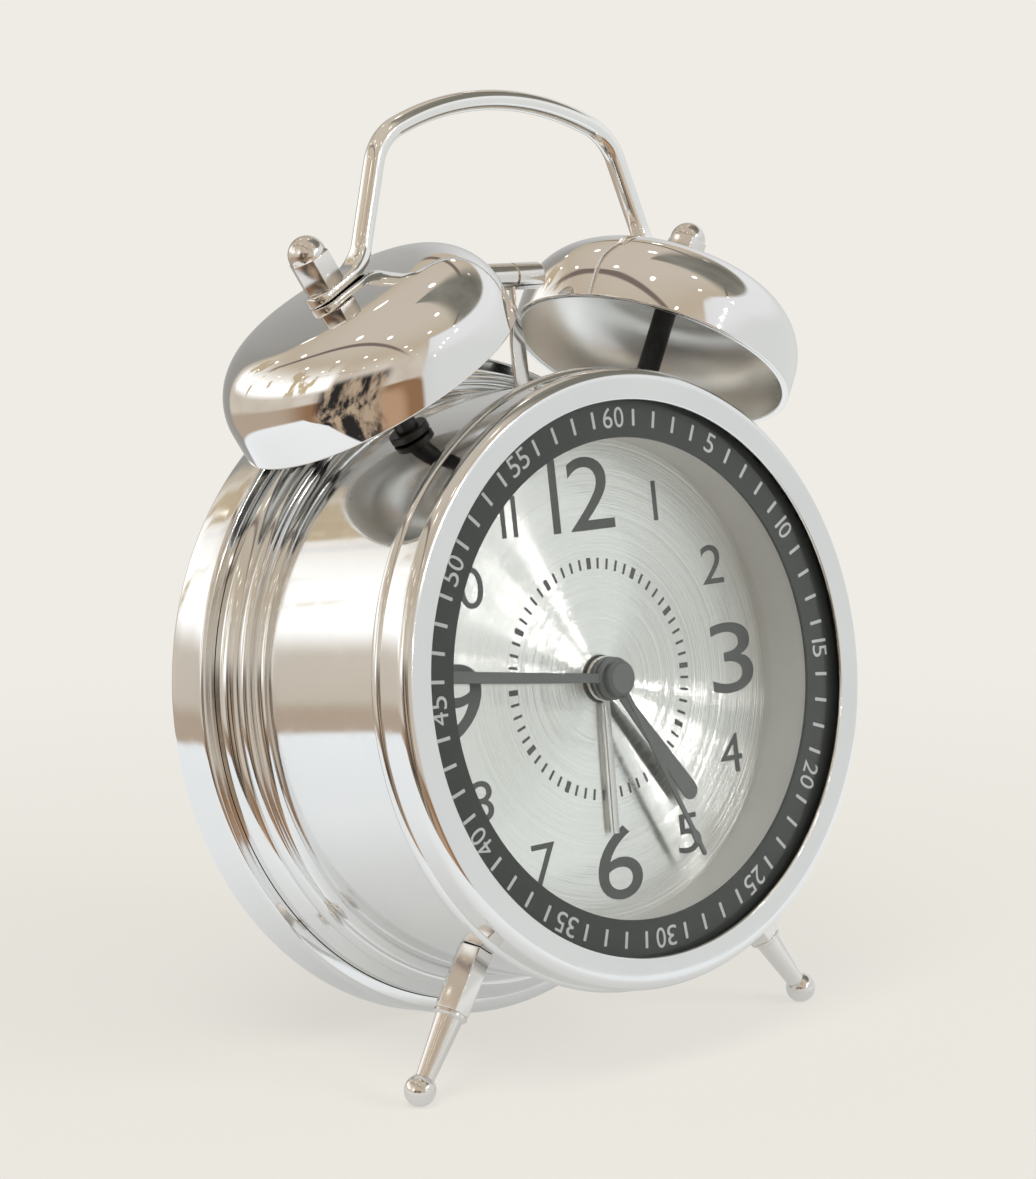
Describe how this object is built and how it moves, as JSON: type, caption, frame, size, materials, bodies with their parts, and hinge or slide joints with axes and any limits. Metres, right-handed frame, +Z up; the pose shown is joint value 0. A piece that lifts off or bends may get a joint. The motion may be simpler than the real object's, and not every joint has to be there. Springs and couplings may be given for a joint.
{
  "type": "alarm clock",
  "caption": "Twin-bell table alarm clock: round chromed case on two splayed feet, bells with a hammer between them, wire handle, dial with an outer minute ring.",
  "frame": {"origin": "middle of the footprint's box on the surface it stands on", "axes": "+Z up, +X to the right as seen from the front, +Y to the back; the dial leans back 8.6 degrees"},
  "size_m": [0.1126, 0.0705, 0.157],
  "materials": {
    "case_chrome": "polished",
    "bell_chrome": "mirror polished",
    "handle_chrome": "polished wire",
    "nickel_plate": "dull nickel plate",
    "dark_steel": "darkened",
    "zinc_steel": "zinc plate",
    "lens_glass": "clear",
    "ring_black": "satin print",
    "spacer_silver": "satin silver",
    "dial_metal": "spun",
    "white_plastic": "moulded",
    "black_plastic": "fine grain",
    "knob_black": "moulded",
    "movement_plastic": "moulded",
    "wheel_brass": "machined",
    "copper_wire": "enamelled winding",
    "board_green": "solder mask",
    "hand_dark": "satin",
    "hand_silver": "satin",
    "cell_wrap": "printed sleeve, bare of words",
    "contact_nickel": "spring nickel",
    "slider_white": "moulded"
  },
  "bodies": {
    "case": {"case_drum": "case_chrome", "rear_rim": "case_chrome", "front_bezel": "case_chrome", "lens": "lens_glass", "minute_ring": "ring_black", "spacer_ring": "spacer_silver", "dial_plate": "dial_metal", "chassis_plate": "white_plastic", "rear_cover": "black_plastic", "case_screws": "zinc_steel", "left_foot": "nickel_plate", "right_foot": "nickel_plate", "foot_nuts": "zinc_steel", "left_bell": "bell_chrome", "right_bell": "bell_chrome", "bell_posts": "dark_steel", "post_nuts": "zinc_steel", "cap_nuts": "nickel_plate", "handle": "handle_chrome", "hammer_pin": "zinc_steel", "striker_bracket": "zinc_steel", "bracket_screws": "zinc_steel", "striker_core": "zinc_steel", "striker_coil": "copper_wire", "movement_base": "movement_plastic", "movement_cover": "movement_plastic", "movement_screws": "zinc_steel", "circuit_board": "board_green", "stator": "zinc_steel", "drive_coil": "copper_wire", "battery_cells": "cell_wrap", "battery_contacts": "contact_nickel", "switch_body": "zinc_steel"},
    "hammer": {"hammer_head": "nickel_plate", "hammer_arm": "nickel_plate", "hammer_armature": "zinc_steel"},
    "time_set": {"time_arbor": "wheel_brass", "time_knob": "knob_black"},
    "minute": {"minute_arbor": "wheel_brass", "minute_hand": "hand_dark"},
    "hour": {"hour_wheel": "wheel_brass", "hour_hand": "hand_dark"},
    "alarm_set": {"alarm_arbor": "wheel_brass", "alarm_knob": "knob_black"},
    "alarm": {"alarm_wheel": "wheel_brass", "alarm_hand": "hand_silver"},
    "seconds": {"second_wheel": "wheel_brass", "second_hand": "hand_dark"},
    "third": {"third_wheel": "wheel_brass"},
    "motor": {"rotor": "zinc_steel"},
    "door": {"battery_door": "black_plastic"},
    "switch": {"switch_slider": "slider_white"}
  },
  "joints": [
    {"name": "hammer_swing", "type": "hinge", "parent": "case", "child": "hammer", "pos_m": [0, 0.00053, 0.09753], "axis": [0, 0.9888, -0.1489], "range_deg": [-5.5, 5.5], "stiffness_Nm_per_rad": 0.004},
    {"name": "time_turn", "type": "hinge", "parent": "case", "child": "time_set", "pos_m": [0.01128, -0.02548, 0.06717], "axis": [0, 0.9888, -0.1489], "continuous": true},
    {"name": "minute_turn", "type": "hinge", "parent": "case", "child": "minute", "pos_m": [0, -0.02609, 0.06311], "axis": [0, 0.9888, -0.1489], "continuous": true},
    {"name": "hour_turn", "type": "hinge", "parent": "case", "child": "hour", "pos_m": [0, -0.02609, 0.06311], "axis": [0, 0.9888, -0.1489], "continuous": true},
    {"name": "alarm_set_turn", "type": "hinge", "parent": "case", "child": "alarm_set", "pos_m": [-0.01409, -0.02533, 0.06819], "axis": [0, 0.9888, -0.1489], "continuous": true},
    {"name": "alarm_turn", "type": "hinge", "parent": "case", "child": "alarm", "pos_m": [0, -0.02609, 0.06311], "axis": [0, 0.9888, -0.1489], "continuous": true},
    {"name": "seconds_turn", "type": "hinge", "parent": "case", "child": "seconds", "pos_m": [0, -0.02609, 0.06311], "axis": [0, 0.9888, -0.1489], "continuous": true},
    {"name": "third_turn", "type": "hinge", "parent": "case", "child": "third", "pos_m": [0, -0.02784, 0.05149], "axis": [0, 0.9888, -0.1489], "continuous": true},
    {"name": "motor_turn", "type": "hinge", "parent": "case", "child": "motor", "pos_m": [0.00798, -0.02805, 0.0501], "axis": [0, 0.9888, -0.1489], "continuous": true},
    {"name": "door_hinge", "type": "hinge", "parent": "case", "child": "door", "pos_m": [0, 0.01778, 0.01871], "axis": [-1, 0, 0], "range_deg": [0, 90]},
    {"name": "switch_slide", "type": "slide", "parent": "case", "child": "switch", "axis": [1, 0, 0], "range_m": [0, 0.004]}
  ],
  "couplings": [
    {"joint": "minute_turn", "follows": "time_turn", "ratio": -3},
    {"joint": "hour_turn", "follows": "time_turn", "ratio": -0.25},
    {"joint": "alarm_turn", "follows": "alarm_set_turn", "ratio": -0.5},
    {"joint": "third_turn", "follows": "seconds_turn", "ratio": -6},
    {"joint": "motor_turn", "follows": "seconds_turn", "ratio": 30}
  ]
}
